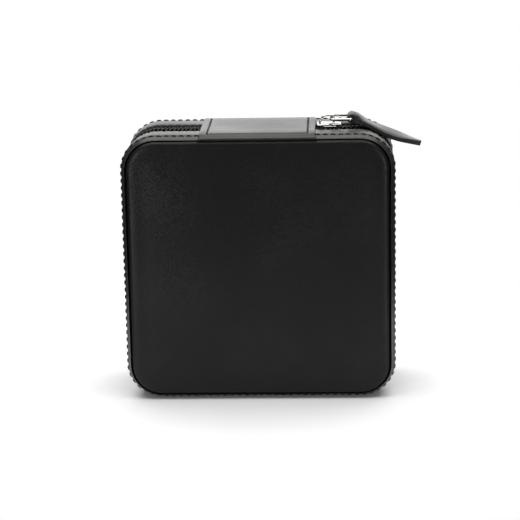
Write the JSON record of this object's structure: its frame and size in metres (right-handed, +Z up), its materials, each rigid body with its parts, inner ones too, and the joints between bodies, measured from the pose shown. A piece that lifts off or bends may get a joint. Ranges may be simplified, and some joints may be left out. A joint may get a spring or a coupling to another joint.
{
  "type": "leather jewellery case",
  "caption": "Square zip-around travel jewellery case in leather: two padded halves on a leather hinge, lined trays with ring rolls, a mirror and a pocket, and a strap on the zip slider.",
  "frame": {"origin": "centre of the rear leather panel's outer face, the face that the case is laid on to be opened", "axes": "+Z up to the hinge edge with the case standing on its foot edge, +X to the right seen from the lid, -Y out of the lid"},
  "size_m": [0.11, 0.04, 0.1042],
  "materials": {
    "black_leather": "smooth full-grain leather, satin",
    "lining_suede": "short-nap suede cloth",
    "frame_plastic": "moulded, fine matte texture",
    "board": "pressed grey board",
    "foam": "soft open foam sheet",
    "thread": "waxed polyester thread",
    "zip_tape": "woven herringbone tape",
    "zip_coil": "nylon coil, satin",
    "mirror_glass": "silvered glass",
    "polished_metal": "bright nickel plate"
  },
  "bodies": {
    "case_base": {"base_frame": "frame_plastic", "base_board": "board", "base_padding": "foam", "base_panel": "black_leather", "base_band": "black_leather", "base_hinge_panel": "black_leather", "base_band_stitching": "thread", "base_hinge_stitching": "thread", "base_lining": "lining_suede", "base_hinge_lining": "lining_suede", "base_zip_tape": "zip_tape", "base_zip_coil": "zip_coil", "base_coil_end": "zip_coil", "divider_long": "lining_suede", "divider_left": "lining_suede", "divider_right": "lining_suede", "ring_roll_1": "lining_suede", "ring_roll_2": "lining_suede", "ring_roll_3": "lining_suede", "ring_roll_4": "lining_suede"},
    "lid": {"lid_frame": "frame_plastic", "lid_board": "board", "lid_padding": "foam", "lid_panel": "black_leather", "lid_band": "black_leather", "lid_hinge_panel": "black_leather", "lid_band_stitching": "thread", "lid_hinge_stitching": "thread", "lid_lining": "lining_suede", "lid_hinge_lining": "lining_suede", "lid_zip_tape": "zip_tape", "lid_zip_coil": "zip_coil", "lid_coil_end": "zip_coil", "lid_tape_end": "zip_tape", "mirror_surround": "lining_suede", "lid_pocket": "lining_suede", "pocket_elastic": "zip_tape", "mirror": "mirror_glass"},
    "zip_slider": {"slider_body": "polished_metal"},
    "pull_link": {"link_wire": "polished_metal"},
    "leather_pull": {"pull_strap": "black_leather"}
  },
  "joints": [
    {"name": "lid_hinge", "type": "hinge", "parent": "case_base", "child": "lid", "pos_m": [0, -0.02, 0.0507], "axis": [-1, 0, 0], "range_deg": [0, 180], "deforming": ["lid_tape_end", "lid_coil_end"]},
    {"name": "zip_slide", "type": "slide", "parent": "case_base", "child": "zip_slider", "axis": [1, 0, 0], "range_m": [0, 0.0055], "deforming": ["base_coil_end"]},
    {"name": "link_swing", "type": "hinge", "parent": "zip_slider", "child": "pull_link", "pos_m": [0.0268, -0.02, 0.0527], "axis": [0, -1, 0], "range_deg": [0, 105]},
    {"name": "strap_swing", "type": "hinge", "parent": "pull_link", "child": "leather_pull", "pos_m": [0.0346, -0.02, 0.0527], "axis": [0, -1, 0], "range_deg": [0, 100]}
  ]
}
